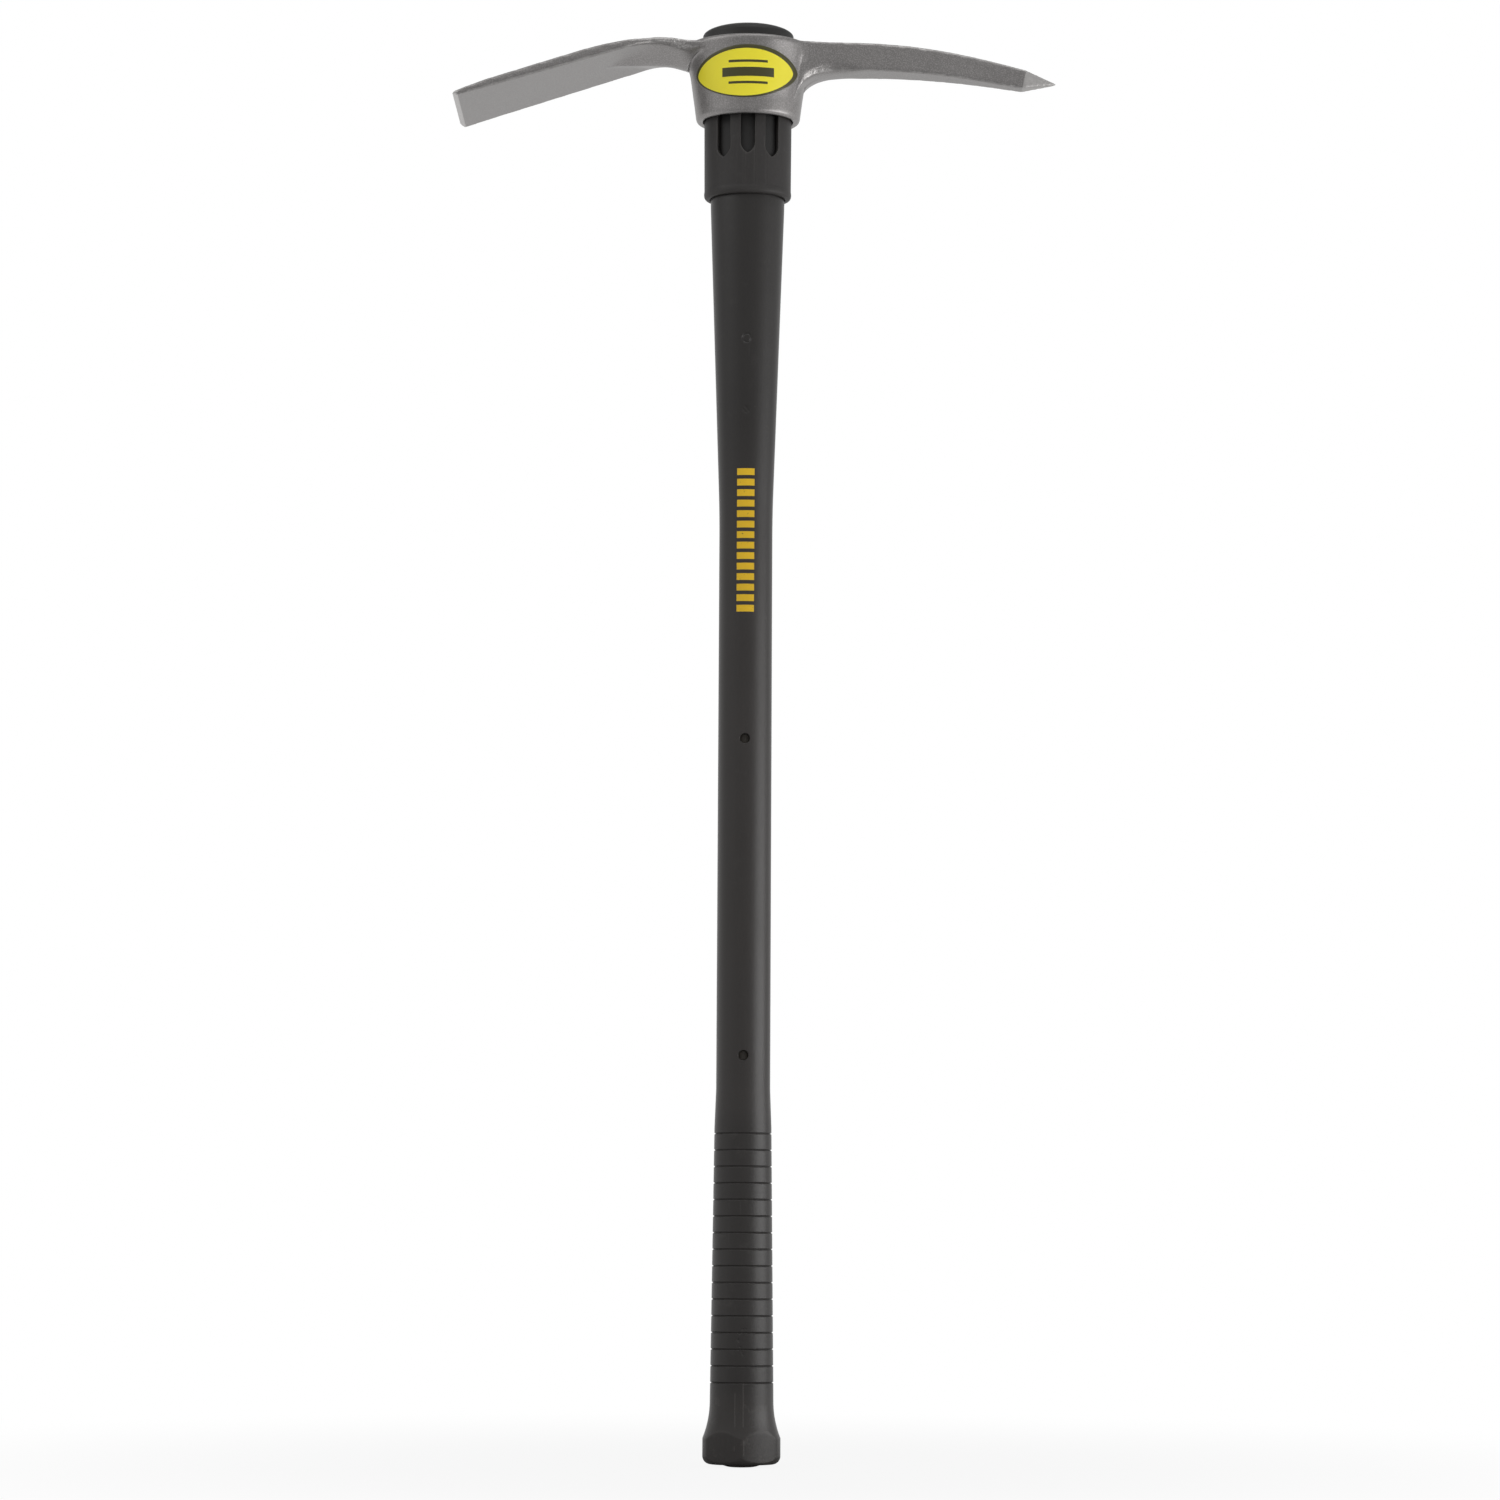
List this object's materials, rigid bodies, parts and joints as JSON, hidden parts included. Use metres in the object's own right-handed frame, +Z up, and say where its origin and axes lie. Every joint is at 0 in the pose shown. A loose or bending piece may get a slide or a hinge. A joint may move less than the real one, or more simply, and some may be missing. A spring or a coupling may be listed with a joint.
{
  "type": "pick mattock",
  "caption": "Two-handed digging tool: forged head with a broad adze blade and a tapered pick, slip-fitted on a flared oval handle with a grooved grip and a slotted locking collar.",
  "frame": {"origin": "middle of the raised foot under the butt, on the handle's axis", "axes": "+Z up the handle to the crown, +X towards the pick, -X towards the adze, -Y the labelled front"},
  "size_m": [0.3853, 0.0708, 0.914],
  "materials": {
    "jacket": "moulded satin black",
    "core": "dark glass-fibre rod",
    "head_paint": "silver-grey paint over forged steel",
    "collar": "matt black",
    "label": "printed vinyl"
  },
  "bodies": {
    "handle": {"handle_jacket": "jacket", "handle_core": "core"},
    "head": {"head": "head_paint", "head_label": "label"},
    "collar": {"locking_collar": "collar"}
  },
  "joints": [
    {"name": "head_slide", "type": "slide", "parent": "handle", "child": "head", "axis": [0, 0, -1], "range_m": [0, 0.66]},
    {"name": "collar_slide", "type": "slide", "parent": "head", "child": "collar", "axis": [0, 0, -1], "range_m": [0, 0.1]}
  ]
}
